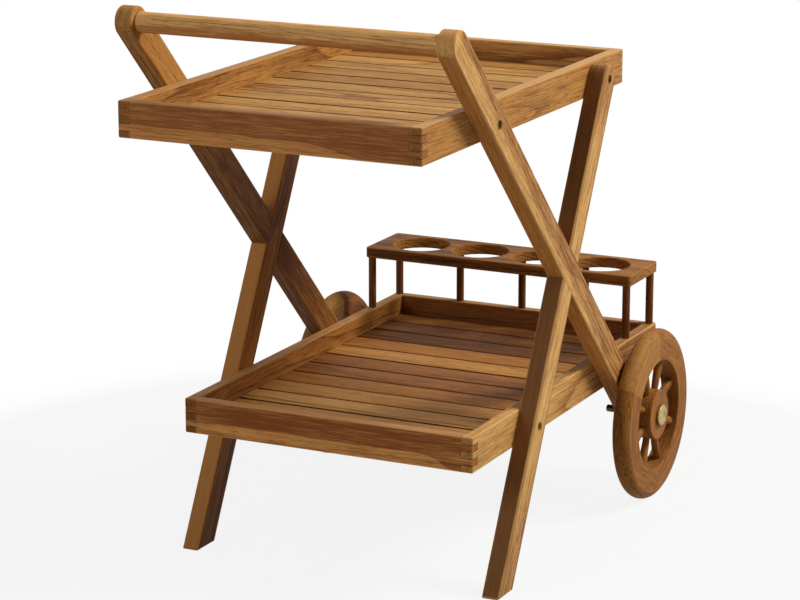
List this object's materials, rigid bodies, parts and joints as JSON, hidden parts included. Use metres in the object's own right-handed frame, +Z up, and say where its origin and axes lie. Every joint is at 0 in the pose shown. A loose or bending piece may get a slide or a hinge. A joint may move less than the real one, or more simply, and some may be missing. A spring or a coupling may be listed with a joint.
{
  "type": "serving trolley",
  "caption": "Wooden serving trolley with slatted trays on crossed legs, a round bar handle, a bottle rack and spoked wheels that spin freely.",
  "frame": {"origin": "on the floor, at the middle of the trolley's length and width", "axes": "+X to the right, +Y from the handle end to the wheel end, +Z up"},
  "size_m": [0.6262, 0.924, 0.8812],
  "materials": {
    "teak": "oiled teak, satin, with eased edges",
    "teak_slats": "oiled teak slats, satin, varying in tone",
    "teak_wheels": "oiled teak, satin, rounded tread",
    "brass": "satin brass, a little tarnished",
    "plated_steel": "yellowish zinc plating, dull"
  },
  "bodies": {
    "frame": {"bottle_rack": "teak", "handle": "teak", "left_axle_bolt": "brass", "left_axle_nut": "plated_steel", "left_axle_washers": "plated_steel", "left_handle_leg": "teak", "left_stand_leg": "teak", "leg_screws": "plated_steel", "lower_front_rail": "teak", "lower_left_ledger": "teak", "lower_left_rail": "teak", "lower_rear_rail": "teak", "lower_right_ledger": "teak", "lower_right_rail": "teak", "lower_slat_01": "teak_slats", "lower_slat_02": "teak_slats", "lower_slat_03": "teak_slats", "lower_slat_04": "teak_slats", "lower_slat_05": "teak_slats", "lower_slat_06": "teak_slats", "lower_slat_07": "teak_slats", "lower_slat_08": "teak_slats", "lower_slat_09": "teak_slats", "lower_slat_10": "teak_slats", "lower_slat_11": "teak_slats", "lower_slat_12": "teak_slats", "rack_front_posts": "teak", "rack_rear_posts": "teak", "right_axle_bolt": "brass", "right_axle_nut": "plated_steel", "right_axle_washers": "plated_steel", "right_handle_leg": "teak", "right_stand_leg": "teak", "upper_front_rail": "teak", "upper_left_ledger": "teak", "upper_left_rail": "teak", "upper_rear_rail": "teak", "upper_right_ledger": "teak", "upper_right_rail": "teak", "upper_slat_01": "teak_slats", "upper_slat_02": "teak_slats", "upper_slat_03": "teak_slats", "upper_slat_04": "teak_slats", "upper_slat_05": "teak_slats", "upper_slat_06": "teak_slats", "upper_slat_07": "teak_slats", "upper_slat_08": "teak_slats", "upper_slat_09": "teak_slats", "upper_slat_10": "teak_slats", "upper_slat_11": "teak_slats", "upper_slat_12": "teak_slats"},
    "right_wheel": {"right_wheel_bush": "brass", "right_wheel_hub": "teak_wheels", "right_wheel_rim": "teak_wheels", "right_wheel_spokes": "teak_wheels"},
    "left_wheel": {"left_wheel_bush": "brass", "left_wheel_hub": "teak_wheels", "left_wheel_rim": "teak_wheels", "left_wheel_spokes": "teak_wheels"}
  },
  "joints": [
    {"name": "right_wheel_spin", "type": "hinge", "parent": "frame", "child": "right_wheel", "pos_m": [0.29105, 0.32, 0.142], "axis": [1, 0, 0], "continuous": true},
    {"name": "left_wheel_spin", "type": "hinge", "parent": "frame", "child": "left_wheel", "pos_m": [-0.29105, 0.32, 0.142], "axis": [1, 0, 0], "continuous": true}
  ]
}
